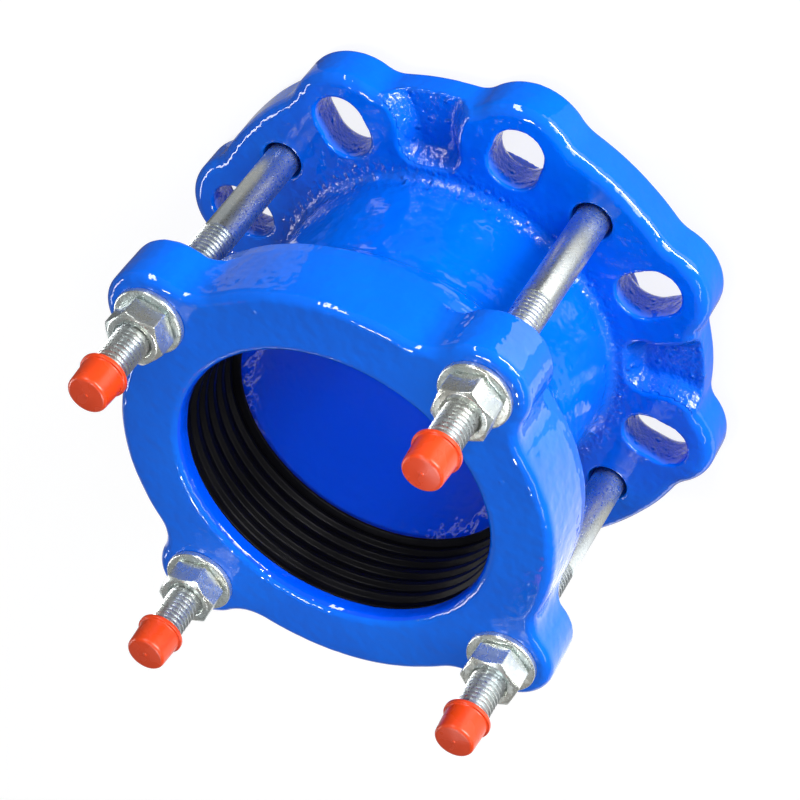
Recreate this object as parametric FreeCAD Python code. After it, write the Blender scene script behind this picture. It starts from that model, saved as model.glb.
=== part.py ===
"""Flange adapter for plain-ended pipe, in millimetres.

A ductile iron flange and sleeve are cast in one piece. Four bolts, whose heads are trapped in
the flange's back, pull a gland ring down on a rubber gasket, which then grips the pipe.

The origin is the centre of the flange's raised face, and +Z runs along the pipe's axis towards
the gland. The bolts stand at 45 degrees to X and Y.
"""
import FreeCAD, Part
import math
import os

V = FreeCAD.Vector
UP = V(0, 0, 1)

# Bore, sleeve and the bell that holds the gasket
BORE_RADIUS = 54.5
SLEEVE_WALL = 5.0
SLEEVE_LENGTH = 36.0
SLEEVE_ROOT_ROUND = 3.5
FLARE_LENGTH = 19.0
BELL_LENGTH = 16.0
BELL_LIP = 3.5
BELL_EDGE_ROUND = 1.2
SEAT_DEPTH = 22.0
SEAT_SHOULDER = 3.5
SEAT_RISE = 5.0

# Flange plate, its raised face and its slotted holes
FLANGE_THICKNESS = 19.0
RAISED_FACE_WIDTH = 11.5
RAISED_FACE_HEIGHT = 3.0
FACE_CHAMFER = 1.0
HOLE_COUNT = 8
HOLE_CIRCLE_OFFSET = 1.5
HOLE_WIDTH = 17.6
HOLE_STRETCH = 5.6
HOLE_EDGE_ROUND = 2.0
LOBE_WALL = 8.7
SADDLE_OFFSET = 10.0
SADDLE_BLEND = 10.0
WEB_OFFSET = 15.0
WEB_BLEND = 15.0
FRONT_EDGE_ROUND = 3.5
BACK_EDGE_ROUND = 1.5

# Hollows between the pairs of holes, sunk in the flange's front
HOLLOW_DEPTH = 6.5
HOLLOW_SLOPE = 35.0
HOLLOW_LEDGE = 1.3
HOLLOW_SIDE_RADIUS = 19.0
HOLLOW_RIM_MARGIN = 0.1
HOLLOW_CORNER = 7.5
HOLLOW_FLOOR_ROUND = 2.0
HOLLOW_EDGE_ROUND = 2.0

# Bolts and the pockets that trap their heads
BOLT_COUNT = 4
BOLT_FIRST_ANGLE = 45.0
BOLT_RADIUS = 5.9
BOLT_GAP = 6.1
BOLT_FREE_END = 25.0
BOLT_TIP_CHAMFER = 1.4
HEAD_FLATS = 18.0
HEAD_HEIGHT = 7.2
POCKET_DEPTH = 5.0
POCKET_CLEARANCE = 0.3
POCKET_CORNER = 2.5
BOLT_HOLE_CLEARANCE = 1.1

# Gland ring
GLAND_TRAVEL = 11.5
GLAND_DEPTH = 29.0
GLAND_EAR_DEPTH = 20.5
GLAND_EAR_ROOT_ROUND = 3.0
GLAND_SKIRT_TAPER = 0.5
GLAND_LIP = 6.5
GLAND_LIP_OFFSET = -0.5
GLAND_WALL = 8.6
GLAND_LOBE_WALL = 9.6
GLAND_BLEND = 15.0
GLAND_EDGE_ROUND = 3.5
GLAND_BACK_ROUND = 1.5
CUP_CLEARANCE = 1.2
CUP_CONE_WIDTH = 4.0
CUP_CONE_HEIGHT = 3.0

# Gasket
GASKET_CLEARANCE = 0.2
GASKET_TOE_GAP = 1.5
GASKET_RIBS = 5
RIB_CREST_OFFSET = -0.8
RIB_GROOVE_OFFSET = 0.9
RIB_CREST_WIDTH = 1.4
RIB_FOOT_WIDTH = 3.8
MOUTH_CREST_OFFSET = -0.3
TOE_LIP_OFFSET = -3.1
TOE_LIP_HEIGHT = 1.0

# Washers, nuts and thread caps
WASHER_RADIUS = 12.0
WASHER_THICKNESS = 2.2
WASHER_CLEARANCE = 0.6
WASHER_CHAMFER = 0.3
NUT_FLATS = 18.3
NUT_HEIGHT = 9.3
NUT_CLEARANCE = 0.1
NUT_COUNTERSINK = 0.9
NUT_CHAMFER_ANGLE = 30.0
CAP_LENGTH = 11.4
CAP_CLEARANCE = 0.1
CAP_RIM_WALL = 2.0
CAP_RIM_HEIGHT = 1.5
CAP_WALL = 1.2
CAP_END_SIDE_WALL = 0.7
CAP_END_WALL = 1.3
CAP_RIM_ROUND = 0.5
CAP_END_ROUND = 1.1

# What differs from bolt to bolt: the space left in each cap, and how each nut came to rest
CAP_SPACES = (1.7, 0.8, 0.6, 0.5)
NUT_ANGLES = (22.0, 16.0, 47.0, 22.0)

# Radii that follow from those above, from the bore outwards
SLEEVE_RADIUS = BORE_RADIUS + SLEEVE_WALL
SEAT_TOE_RADIUS = BORE_RADIUS + SEAT_SHOULDER
SEAT_MOUTH_RADIUS = SEAT_TOE_RADIUS + SEAT_RISE
BELL_RADIUS = SEAT_MOUTH_RADIUS + BELL_LIP
RAISED_FACE_RADIUS = BORE_RADIUS + RAISED_FACE_WIDTH
BOLT_HOLE_RADIUS = BOLT_RADIUS + BOLT_HOLE_CLEARANCE
BOLT_CIRCLE = BELL_RADIUS + BOLT_GAP + BOLT_RADIUS
HOLE_CIRCLE = BOLT_CIRCLE + HOLE_CIRCLE_OFFSET
LOBE_RADIUS = (HOLE_STRETCH + HOLE_WIDTH) / 2 + LOBE_WALL
SADDLE_RADIUS = HOLE_CIRCLE + SADDLE_OFFSET
WEB_RADIUS = HOLE_CIRCLE + WEB_OFFSET
HOLLOW_INNER_RADIUS = SLEEVE_RADIUS + SLEEVE_ROOT_ROUND + HOLLOW_LEDGE
CUP_RADIUS = BELL_RADIUS + CUP_CLEARANCE
GLAND_RADIUS = CUP_RADIUS + GLAND_WALL
GLAND_LOBE_RADIUS = BOLT_HOLE_RADIUS + GLAND_LOBE_WALL
GLAND_BORE_RADIUS = BORE_RADIUS + GLAND_LIP_OFFSET

# Heights that follow, from the raised face towards the caps
FLARE_START = FLANGE_THICKNESS + SLEEVE_LENGTH
FLARE_END = FLARE_START + FLARE_LENGTH
BELL_MOUTH = FLARE_END + BELL_LENGTH
SEAT_FLOOR = BELL_MOUTH - SEAT_DEPTH
GLAND_SEAT = BELL_MOUTH + GLAND_TRAVEL
GLAND_FACE = GLAND_SEAT + GLAND_LIP
GLAND_BACK = GLAND_FACE - GLAND_DEPTH
EAR_BACK = GLAND_FACE - GLAND_EAR_DEPTH
NUT_SEAT = GLAND_FACE + WASHER_THICKNESS
BOLT_TIP = NUT_SEAT + NUT_HEIGHT + BOLT_FREE_END
HEAD_SEAT = RAISED_FACE_HEIGHT + POCKET_DEPTH


def polar(radius, angle, z=0.0):
    turn = math.radians(angle)
    return V(radius * math.cos(turn), radius * math.sin(turn), z)


def unit(vector):
    return vector / vector.Length


def line(start, end):
    return Part.LineSegment(start, end).toShape()


def arc(start, middle, end):
    return Part.Arc(start, middle, end).toShape()


def short_arc(centre, start, end):
    """The shorter arc about a centre between two points that are equally far from it."""
    middle = centre + unit((start + end) / 2 - centre) * (start - centre).Length
    return arc(start, middle, end)


def quarter_round(start, corner, end):
    """Quarter circle that takes the place of a square corner."""
    return short_arc(start + end - corner, start, end)


def path(points):
    """Straight edges through points given as (radius, height)."""
    return [line(V(r1, 0, z1), V(r2, 0, z2)) for (r1, z1), (r2, z2) in zip(points, points[1:])]


def revolved(edges):
    """Solid of revolution from a closed chain of edges in the XZ plane."""
    return Part.Face(Part.Wire(Part.__sortEdges__(edges))).revolve(V(0, 0, 0), UP, 360)


def turned(shape, angle):
    copy = shape.copy()
    copy.rotate(V(0, 0, 0), UP, angle)
    return copy


def bolt_angle(k):
    return BOLT_FIRST_ANGLE + 360.0 / BOLT_COUNT * k


def at_bolt(shape, k, spin=0.0, rise=0.0):
    """A shape drawn about the Z axis, spun, raised and carried out to bolt k."""
    copy = turned(shape, bolt_angle(k) + spin)
    copy.translate(polar(BOLT_CIRCLE, bolt_angle(k), rise))
    return copy


def drilled(shape, radius):
    """The shape with a hole of the given radius through it at each bolt."""
    reach = BOLT_TIP
    drill = Part.makeCylinder(radius, 2 * reach, V(0, 0, -reach))
    return shape.cut([at_bolt(drill, k) for k in range(BOLT_COUNT)])


def flat_edges(shape, z, keep=lambda middle: True):
    """Edges that lie in the plane at height z and whose middle point passes a test."""
    near = 1e-4
    chosen = []
    for edge in shape.Edges:
        box = edge.BoundBox
        middle = edge.valueAt((edge.FirstParameter + edge.LastParameter) / 2)
        if abs(box.ZMin - z) < near and abs(box.ZMax - z) < near and keep(middle):
            chosen.append(edge)
    return chosen


def blend_centre(angle, side, circle, lobe, base, blend):
    """Centre of the arc that blends a lobe at an angle into the arc beside it.

    side is 1 for the arc that follows the lobe anticlockwise, and -1 for the one before it.
    """
    reach = base + blend
    cosine = (reach**2 + circle**2 - (lobe + blend)**2) / (2 * reach * circle)
    return polar(reach, angle + side * math.degrees(math.acos(cosine)))


def lobed_outline(angles, circle, lobe, gaps):
    """Closed outline of lobes on a circle, joined through blends by arcs about the axis.

    gaps gives, for the space after each lobe, the radius of its arc and of its two blends.
    """
    edges = []
    for k, angle in enumerate(angles):
        lobe_centre = polar(circle, angle)
        before, after = gaps[k - 1], gaps[k]
        centre_in = blend_centre(angle, -1, circle, lobe, *before)
        centre_out = blend_centre(angle, 1, circle, lobe, *after)
        lobe_in = lobe_centre + unit(centre_in - lobe_centre) * lobe
        lobe_out = lobe_centre + unit(centre_out - lobe_centre) * lobe
        base_in = unit(centre_in) * before[0]
        base_out = unit(centre_out) * after[0]
        edges.append(short_arc(centre_in, base_in, lobe_in))
        edges.append(arc(lobe_in, polar(circle + lobe, angle), lobe_out))
        edges.append(short_arc(centre_out, lobe_out, base_out))
        next_angle = angles[(k + 1) % len(angles)]
        next_base = unit(blend_centre(next_angle, -1, circle, lobe, *after)) * after[0]
        edges.append(short_arc(V(0, 0, 0), base_out, next_base))
    return Part.Wire(Part.__sortEdges__(edges))


def rounded_prism(outline, bottom, top, bottom_round, top_round):
    solid = Part.Face(outline).extrude(UP * (top - bottom))
    solid.translate(UP * bottom)
    solid = solid.makeFillet(top_round, flat_edges(solid, top))
    return solid.makeFillet(bottom_round, flat_edges(solid, bottom))


def hexagon(flats, height, bottom):
    """Hexagonal prism about the Z axis, with two of its corners on X."""
    corner = flats / math.sqrt(3)
    wire = Part.makePolygon([polar(corner, 60 * k, bottom) for k in range(7)])
    return Part.Face(wire).extrude(UP * height)


def chamfering_cone(flats, tip, direction):
    """Cone that takes the corners off a hexagon's end; direction is 1 where the end faces up."""
    inner = 0.95 * flats / 2
    outer = flats
    drop = (outer - inner) * math.tan(math.radians(NUT_CHAMFER_ANGLE))
    reach = BOLT_TIP
    base, far = tip - direction * drop, tip - direction * reach
    return revolved(path([(0, tip), (inner, tip), (outer, base), (outer, far), (0, far), (0, tip)]))


def hollow_outline(drop):
    """Outline of the hollow about +X, at a given depth below the flange's front.

    Its sides touch the lobes' outline at the rim. Every arc keeps its centre as the outline
    shrinks with depth, so the walls are cones.
    """
    inset = drop * math.tan(math.radians(HOLLOW_SLOPE))
    inner = HOLLOW_INNER_RADIUS + inset
    side = HOLLOW_SIDE_RADIUS + inset
    corner = HOLLOW_CORNER - inset
    angle = 180.0 / HOLE_COUNT
    lobe = polar(HOLE_CIRCLE, angle)
    rim_blend = blend_centre(angle, -1, HOLE_CIRCLE, LOBE_RADIUS, SADDLE_RADIUS, SADDLE_BLEND)
    outward = unit(rim_blend - lobe)
    hub = lobe + outward * (LOBE_RADIUS + HOLLOW_RIM_MARGIN - HOLLOW_SIDE_RADIUS)
    hub_angle = math.degrees(math.atan2(hub.y, hub.x))
    centre = blend_centre(hub_angle, -1, hub.Length, side, inner, corner)
    points = [unit(centre) * inner, hub + unit(centre - hub) * side,
              hub + outward * side, hub + outward * 2 * LOBE_RADIUS]
    mirrored = [V(p.x, -p.y, 0) for p in points]
    hub_below, centre_below = V(hub.x, -hub.y, 0), V(centre.x, -centre.y, 0)
    wire = Part.Wire([
        short_arc(V(0, 0, 0), mirrored[0], points[0]),
        short_arc(centre, points[0], points[1]),
        short_arc(hub, points[1], points[2]),
        line(points[2], points[3]),
        line(points[3], mirrored[3]),
        line(mirrored[3], mirrored[2]),
        short_arc(hub_below, mirrored[2], mirrored[1]),
        short_arc(centre_below, mirrored[1], mirrored[0])])
    wire.translate(UP * (FLANGE_THICKNESS - drop))
    return wire


def hollow_cutter():
    """What is taken out between two pairs of holes, with a rounded foot all round its floor."""
    above = 1.0
    cutter = Part.makeLoft([hollow_outline(HOLLOW_DEPTH), hollow_outline(-above)], True, True)
    foot = flat_edges(cutter, FLANGE_THICKNESS - HOLLOW_DEPTH, lambda m: m.x < WEB_RADIUS)
    return cutter.makeFillet(HOLLOW_FLOOR_ROUND, foot)


def in_a_hollow(point):
    """Whether a point of the flange's front is on a hollow's edge, and not on the rim."""
    pitch = 720.0 / HOLE_COUNT
    off_middle = abs((math.degrees(math.atan2(point.y, point.x)) + pitch / 2) % pitch - pitch / 2)
    rim = SADDLE_RADIUS - FRONT_EDGE_ROUND
    return off_middle < pitch / 6 and math.hypot(point.x, point.y) < rim - HOLLOW_EDGE_ROUND


def hole_cutter(angle):
    """Slotted bolt hole of the flange, its long way radial."""
    half, along = polar(HOLE_WIDTH / 2, angle), polar(HOLE_STRETCH / 2, angle)
    across = polar(HOLE_WIDTH / 2, angle + 90)
    inner, outer = polar(HOLE_CIRCLE, angle) - along, polar(HOLE_CIRCLE, angle) + along
    outline = Part.Wire([
        arc(inner + across, inner - half, inner - across),
        line(inner - across, outer - across),
        arc(outer - across, outer + half, outer + across),
        line(outer + across, inner + across)])
    return Part.Face(outline).extrude(UP * FLANGE_THICKNESS)


def head_pocket():
    """Pocket for a bolt's head, straight-sided so that the head can't turn."""
    length = HEAD_FLATS * 2 / math.sqrt(3) + 2 * POCKET_CLEARANCE + POCKET_CORNER / 2
    width = HEAD_FLATS + 2 * POCKET_CLEARANCE
    pocket = Part.makeBox(length, width, HEAD_SEAT, V(-length / 2, -width / 2, 0))
    upright = [e for e in pocket.Edges if e.BoundBox.ZLength > HEAD_SEAT / 2]
    return pocket.makeFillet(POCKET_CORNER, upright)


def flange_plate():
    pitch = 360.0 / HOLE_COUNT
    angles = [pitch * (k + 0.5) for k in range(HOLE_COUNT)]
    gaps = [(WEB_RADIUS, WEB_BLEND), (SADDLE_RADIUS, SADDLE_BLEND)] * (HOLE_COUNT // 2)
    outline = lobed_outline(angles, HOLE_CIRCLE, LOBE_RADIUS, gaps)
    plate = rounded_prism(outline, RAISED_FACE_HEIGHT, FLANGE_THICKNESS,
                          BACK_EDGE_ROUND, FRONT_EDGE_ROUND)
    cutter = hollow_cutter()
    plate = plate.cut([turned(cutter, 2 * pitch * k) for k in range(HOLE_COUNT // 2)])
    plate = plate.makeFillet(HOLLOW_EDGE_ROUND, flat_edges(plate, FLANGE_THICKNESS, in_a_hollow))
    plate = plate.cut([hole_cutter(angle) for angle in angles])
    for z in (FLANGE_THICKNESS, RAISED_FACE_HEIGHT):
        half = (HOLE_WIDTH + HOLE_STRETCH) / 2
        near_hole = lambda m: any((V(m.x, m.y, 0) - polar(HOLE_CIRCLE, a)).Length < half + 0.1
                                  for a in angles)
        plate = plate.makeFillet(HOLE_EDGE_ROUND, flat_edges(plate, z, near_hole))
    return plate


def sleeve_outside():
    """Raised face, sleeve, flare and bell as one solid of revolution, not yet bored."""
    root = FLANGE_THICKNESS + SLEEVE_ROOT_ROUND
    flange_side = V(SLEEVE_RADIUS + SLEEVE_ROOT_ROUND, 0, FLANGE_THICKNESS)
    sleeve_side = V(SLEEVE_RADIUS, 0, root)
    low, high = V(SLEEVE_RADIUS, 0, FLARE_START), V(BELL_RADIUS, 0, FLARE_END)
    middle = (low + high) / 2
    rise, run = (high.x - low.x) / 2, (high.z - low.z) / 2
    bend = (rise**2 + run**2) / (2 * rise)
    lip_side = V(BELL_RADIUS, 0, BELL_MOUTH - BELL_EDGE_ROUND)
    lip_top = V(BELL_RADIUS - BELL_EDGE_ROUND, 0, BELL_MOUTH)
    return revolved([
        *path([(flange_side.x, FLANGE_THICKNESS), (flange_side.x, RAISED_FACE_HEIGHT),
               (RAISED_FACE_RADIUS, RAISED_FACE_HEIGHT), (RAISED_FACE_RADIUS, 0), (0, 0),
               (0, BELL_MOUTH), (lip_top.x, BELL_MOUTH)]),
        quarter_round(lip_top, V(BELL_RADIUS, 0, BELL_MOUTH), lip_side),
        line(lip_side, high),
        short_arc(high - V(bend, 0, 0), high, middle),
        short_arc(low + V(bend, 0, 0), middle, low),
        line(low, sleeve_side),
        quarter_round(sleeve_side, V(SLEEVE_RADIUS, 0, FLANGE_THICKNESS), flange_side)])


def sleeve_inside():
    """Waterway through the flange and sleeve, and the tapered seat of the gasket."""
    above = 1.0
    return revolved(path([
        (0, -FACE_CHAMFER), (BORE_RADIUS + 2 * FACE_CHAMFER, -FACE_CHAMFER),
        (BORE_RADIUS, FACE_CHAMFER), (BORE_RADIUS, SEAT_FLOOR), (SEAT_TOE_RADIUS, SEAT_FLOOR),
        (SEAT_MOUTH_RADIUS, BELL_MOUTH), (SEAT_MOUTH_RADIUS, BELL_MOUTH + above),
        (0, BELL_MOUTH + above), (0, -FACE_CHAMFER)]))


def flange_body():
    body = flange_plate().fuse(sleeve_outside()).cut(sleeve_inside())
    body = drilled(body, BOLT_HOLE_RADIUS)
    pocket = head_pocket()
    return body.cut([at_bolt(pocket, k) for k in range(BOLT_COUNT)]).removeSplitter()


def below_ears():
    """What is taken off behind the ears, so that only a slightly tapered skirt goes on."""
    beyond = 1.0
    skirt_end = GLAND_RADIUS - GLAND_SKIRT_TAPER
    outside = BOLT_CIRCLE + GLAND_LOBE_RADIUS + beyond
    round_side = V(GLAND_RADIUS, 0, EAR_BACK - GLAND_EAR_ROOT_ROUND)
    round_top = V(GLAND_RADIUS + GLAND_EAR_ROOT_ROUND, 0, EAR_BACK)
    corner = V(GLAND_RADIUS, 0, EAR_BACK)
    back_side = V(skirt_end, 0, GLAND_BACK + GLAND_BACK_ROUND)
    back_end = V(skirt_end - GLAND_BACK_ROUND, 0, GLAND_BACK)
    return revolved([
        line(back_side, round_side),
        quarter_round(round_side, corner, round_top),
        *path([(round_top.x, EAR_BACK), (outside, EAR_BACK), (outside, GLAND_BACK - beyond),
               (back_end.x, GLAND_BACK - beyond), (back_end.x, GLAND_BACK)]),
        quarter_round(back_end, V(skirt_end, 0, GLAND_BACK), back_side)])


def gland_ring():
    angles = [bolt_angle(k) for k in range(BOLT_COUNT)]
    outline = lobed_outline(angles, BOLT_CIRCLE, GLAND_LOBE_RADIUS,
                            [(GLAND_RADIUS, GLAND_BLEND)] * BOLT_COUNT)
    ring = Part.Face(outline).extrude(UP * GLAND_DEPTH)
    ring.translate(UP * GLAND_BACK)
    ring = ring.makeFillet(GLAND_EDGE_ROUND, flat_edges(ring, GLAND_FACE)).cut(below_ears())
    beyond = 1.0
    edge_low = V(GLAND_BORE_RADIUS, 0, GLAND_FACE - GLAND_EDGE_ROUND)
    edge_high = V(GLAND_BORE_RADIUS + GLAND_EDGE_ROUND, 0, GLAND_FACE)
    centre = V(edge_high.x, 0, edge_low.z)
    inside = revolved([
        *path([(edge_high.x, GLAND_FACE), (edge_high.x, GLAND_FACE + beyond),
               (0, GLAND_FACE + beyond), (0, GLAND_BACK - beyond),
               (CUP_RADIUS, GLAND_BACK - beyond), (CUP_RADIUS, GLAND_SEAT - CUP_CONE_HEIGHT),
               (CUP_RADIUS - CUP_CONE_WIDTH, GLAND_SEAT), (GLAND_BORE_RADIUS, GLAND_SEAT),
               (GLAND_BORE_RADIUS, edge_low.z)]),
        short_arc(centre, edge_low, edge_high)])
    return drilled(ring.cut(inside), BOLT_HOLE_RADIUS)


def pipe_gasket():
    """Rubber wedge: ribs on the pipe's side, a taper that fits the bell and a head in the cup."""
    gap = GASKET_CLEARANCE
    front, toe = GLAND_SEAT - gap, SEAT_FLOOR + GASKET_TOE_GAP
    crest, groove = BORE_RADIUS + RIB_CREST_OFFSET, BORE_RADIUS + RIB_GROOVE_OFFSET
    mouth = BORE_RADIUS + MOUTH_CREST_OFFSET
    taper = SEAT_RISE / SEAT_DEPTH
    head_radius = CUP_RADIUS - 3 * gap
    neck = BELL_MOUTH + 3 * gap
    outside = [(mouth, front), (CUP_RADIUS - CUP_CONE_WIDTH - gap, front),
               (head_radius, GLAND_SEAT - CUP_CONE_HEIGHT - gap), (head_radius, neck),
               (SEAT_MOUTH_RADIUS - gap, neck), (SEAT_MOUTH_RADIUS - gap, BELL_MOUTH),
               (SEAT_TOE_RADIUS - gap + taper * GASKET_TOE_GAP, toe)]
    lip = BORE_RADIUS + TOE_LIP_OFFSET
    inside = [(lip, toe), (lip, toe + TOE_LIP_HEIGHT)]
    pitch = (front - toe) / (GASKET_RIBS + 0.5)
    for k in range(GASKET_RIBS, 0, -1):
        rib = front - k * pitch
        inside += [(groove, rib - RIB_FOOT_WIDTH / 2), (crest, rib - RIB_CREST_WIDTH / 2),
                   (crest, rib + RIB_CREST_WIDTH / 2), (groove, rib + RIB_FOOT_WIDTH / 2)]
    last = (groove, front - (RIB_FOOT_WIDTH - RIB_CREST_WIDTH) / 2 - RIB_CREST_WIDTH / 2)
    crest_end = (mouth, front - RIB_CREST_WIDTH / 2)
    return revolved(path(outside + inside + [last, crest_end, outside[0]]))


def bolt():
    shank = revolved(path([
        (0, HEAD_SEAT), (BOLT_RADIUS, HEAD_SEAT), (BOLT_RADIUS, BOLT_TIP - BOLT_TIP_CHAMFER),
        (BOLT_RADIUS - BOLT_TIP_CHAMFER, BOLT_TIP), (0, BOLT_TIP), (0, HEAD_SEAT)]))
    foot = HEAD_SEAT - HEAD_HEIGHT
    head = hexagon(HEAD_FLATS, HEAD_HEIGHT, foot)
    return head.common(chamfering_cone(HEAD_FLATS, foot, -1)).fuse(shank)


def washer():
    inner = BOLT_RADIUS + WASHER_CLEARANCE
    top = GLAND_FACE + WASHER_THICKNESS
    return revolved(path([
        (inner, GLAND_FACE), (WASHER_RADIUS, GLAND_FACE), (WASHER_RADIUS, top - WASHER_CHAMFER),
        (WASHER_RADIUS - WASHER_CHAMFER, top), (inner, top), (inner, GLAND_FACE)]))


def nut():
    top = NUT_SEAT + NUT_HEIGHT
    inner = BOLT_RADIUS + NUT_CLEARANCE
    beyond = 1.0
    blank = hexagon(NUT_FLATS, NUT_HEIGHT, NUT_SEAT)
    blank = blank.common(chamfering_cone(NUT_FLATS, top, 1))
    blank = blank.common(chamfering_cone(NUT_FLATS, NUT_SEAT, -1))
    wide = inner + NUT_COUNTERSINK + beyond
    hole = revolved(path([
        (0, NUT_SEAT - beyond), (wide, NUT_SEAT - beyond), (inner, NUT_SEAT + NUT_COUNTERSINK),
        (inner, top - NUT_COUNTERSINK), (wide, top + beyond), (0, top + beyond),
        (0, NUT_SEAT - beyond)]))
    return blank.cut(hole)


def cap():
    """Push-on cup that keeps the bolt's thread clean. Its closed end's inside is at height 0."""
    inner = BOLT_RADIUS + CAP_CLEARANCE
    top = CAP_END_WALL
    foot = top - CAP_LENGTH
    rim, body, end = inner + CAP_RIM_WALL, inner + CAP_WALL, inner + CAP_END_SIDE_WALL
    cup = revolved(path([
        (inner, foot), (rim, foot), (rim, foot + CAP_RIM_HEIGHT), (body, foot + CAP_RIM_HEIGHT),
        (end, top), (0, top), (0, 0), (inner, 0), (inner, foot)]))
    at_rim = lambda m: math.hypot(m.x, m.y) > (rim + body) / 2
    cup = cup.makeFillet(CAP_END_ROUND, flat_edges(cup, top))
    return cup.makeFillet(CAP_RIM_ROUND, flat_edges(cup, foot, at_rim)
                          + flat_edges(cup, foot + CAP_RIM_HEIGHT, at_rim))


def write(name, shape):
    solids = shape.Solids
    solid = solids[0] if len(solids) == 1 else shape
    solid.exportStep(f"parts/{name}.step")
    print(f"{name}: {len(solids)} solid, valid {solid.isValid()}, {solid.Volume:.0f} mm3")


def main():
    os.makedirs("parts", exist_ok=True)
    write("flange_body", flange_body())
    write("gland_ring", gland_ring())
    write("pipe_gasket", pipe_gasket())
    for k in range(BOLT_COUNT):
        write(f"bolt_{k + 1}", at_bolt(bolt(), k))
        write(f"washer_{k + 1}", at_bolt(washer(), k))
        write(f"nut_{k + 1}", at_bolt(nut(), k, NUT_ANGLES[k]))
        write(f"cap_{k + 1}", at_bolt(cap(), k, rise=BOLT_TIP + CAP_SPACES[k]))


main()
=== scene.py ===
"""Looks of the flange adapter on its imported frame. Shapes are worked out in millimetres."""
import math

import bpy
import numpy as np
from mathutils import Matrix, Vector


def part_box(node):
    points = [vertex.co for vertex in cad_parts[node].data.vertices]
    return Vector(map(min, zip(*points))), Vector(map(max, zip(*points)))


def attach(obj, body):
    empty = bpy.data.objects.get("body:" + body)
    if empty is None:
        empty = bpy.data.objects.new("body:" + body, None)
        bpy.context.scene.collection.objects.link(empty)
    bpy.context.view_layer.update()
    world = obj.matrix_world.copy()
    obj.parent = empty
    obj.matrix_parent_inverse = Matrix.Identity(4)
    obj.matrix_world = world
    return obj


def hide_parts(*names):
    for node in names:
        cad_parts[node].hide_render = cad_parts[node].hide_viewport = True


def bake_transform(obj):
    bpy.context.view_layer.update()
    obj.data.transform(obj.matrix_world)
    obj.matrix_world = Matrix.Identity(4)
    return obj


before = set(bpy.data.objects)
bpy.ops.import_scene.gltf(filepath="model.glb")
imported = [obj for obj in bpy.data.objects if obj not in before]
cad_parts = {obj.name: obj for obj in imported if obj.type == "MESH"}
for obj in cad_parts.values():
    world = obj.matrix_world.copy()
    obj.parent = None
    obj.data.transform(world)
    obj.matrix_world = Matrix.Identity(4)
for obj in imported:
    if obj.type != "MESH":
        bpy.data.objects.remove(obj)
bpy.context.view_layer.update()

MM = 0.001


def heights(node):
    low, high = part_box(node)
    return low.z / MM, high.z / MM


# Heights and the bolts' places, read from the frame
FACE, BELL_MOUTH = heights("flange_body")
GLAND_BACK, GLAND_FACE = heights("gland_ring")
NUT_SEAT, NUT_TOP = heights("nut_1")
HEAD_FOOT, BOLT_TIP = heights("bolt_1")
GASKET_TOE, GASKET_FRONT = heights("pipe_gasket")
BOLTS = (1, 2, 3, 4)
BOLT_ANGLE = math.pi / 4
BOLT_CIRCLE = math.hypot(*(sum(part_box("bolt_1"), Vector()) / 2).xy) / MM

# Flange, in millimetres. What is round about the axis is given by its radius.
BORE, BORE_CHAMFER = 54.5, 1.0
SLEEVE, BELL = 59.5, 66.5
FLARE_LOW, FLARE_HIGH = 55.0, 74.0
SEAT_FLOOR, SEAT_DEPTH, SEAT_TOE, SEAT_MOUTH = 68.0, 22.0, 58.0, 63.0
SEAT_COSINE = 0.975
FRONT, BACK = 19.0, 3.0
RAISED_FACE, FACE_INSET = 66.0, 4.0
HOLE_CIRCLE, HOLE_HALF_WIDTH, HOLE_HALF_STRETCH = 80.0, 8.8, 2.8
LOBE = 20.3
LOBE_ANGLE = math.pi / 8
SADDLE, SADDLE_BLEND = 90.0, 10.0
WEB, WEB_BLEND = 95.0, 15.0
HOLLOW_DEPTH, HOLLOW_INNER, HOLLOW_SIDE, HOLLOW_CORNER = 6.5, 64.3, 19.0, 7.5
HOLLOW_SLOPE, HOLLOW_OVERRUN = math.radians(35), 0.1
BOLT_HOLE = 7.0
HEAD_SEAT, POCKET_LENGTH, POCKET_WIDTH, POCKET_CORNER = 8.0, 22.6, 18.6, 2.5
FLANGE_REACH = 94.0

# Rounds of the flange: its edges, and the corners where two faces meet inwards
RIM_EDGE, BACK_EDGE, BELL_EDGE, FACE_EDGE = 4.6, 1.5, 1.2, 0.6
SLOT_EDGE, SLOT_BACK_EDGE, HOLLOW_EDGE, BOLT_HOLE_EDGE = 0.8, 4.5, 1.1, 0.9
SEAT_EDGE, BORE_EDGE, POCKET_EDGE = 0.5, 0.4, 0.5
HOLLOW_FOOT, POCKET_FOOT, SLEEVE_ROOT = 0.9, 0.8, 3.5

# Gland
GLAND, GLAND_LOBE, GLAND_BLEND = 76.3, 16.6, 15.0
GLAND_BORE, CUP, CUP_CONE, CUP_CONE_RISE = 54.0, 67.7, 4.0, 3.0
GLAND_SEAT = 101.5
EAR_BACK, EAR_ROOT = GLAND_FACE - 20.5, 3.0
SKIRT_TAPER, SKIRT_TAPER_RUN = 0.5, 4.0
GLAND_REACH = 90.0
GLAND_EDGE, GLAND_BACK_EDGE, CUP_EDGE, GLAND_HOLE_EDGE = 3.5, 1.5, 0.8, 0.7

# Fasteners and caps
BOLT, THREAD_START, PITCH, THREAD_DEPTH, TIP_CHAMFER = 5.9, 61.0, 1.75, 0.95, 1.4
HEAD_FLATS, NUT_FLATS = 18.0, 18.3
HEX_CORNER, HEX_EDGE, HEX_CONE, HEX_SLOPE = 0.35, 0.12, 0.94, math.radians(30)
NUT_SINK, NUT_BITE = 0.9, 0.35
NUT_TURNS = (22.0, 16.0, 47.0, 22.0)
WASHER, WASHER_HOLE = 12.0, 6.5
AXIS = 0.01

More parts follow.
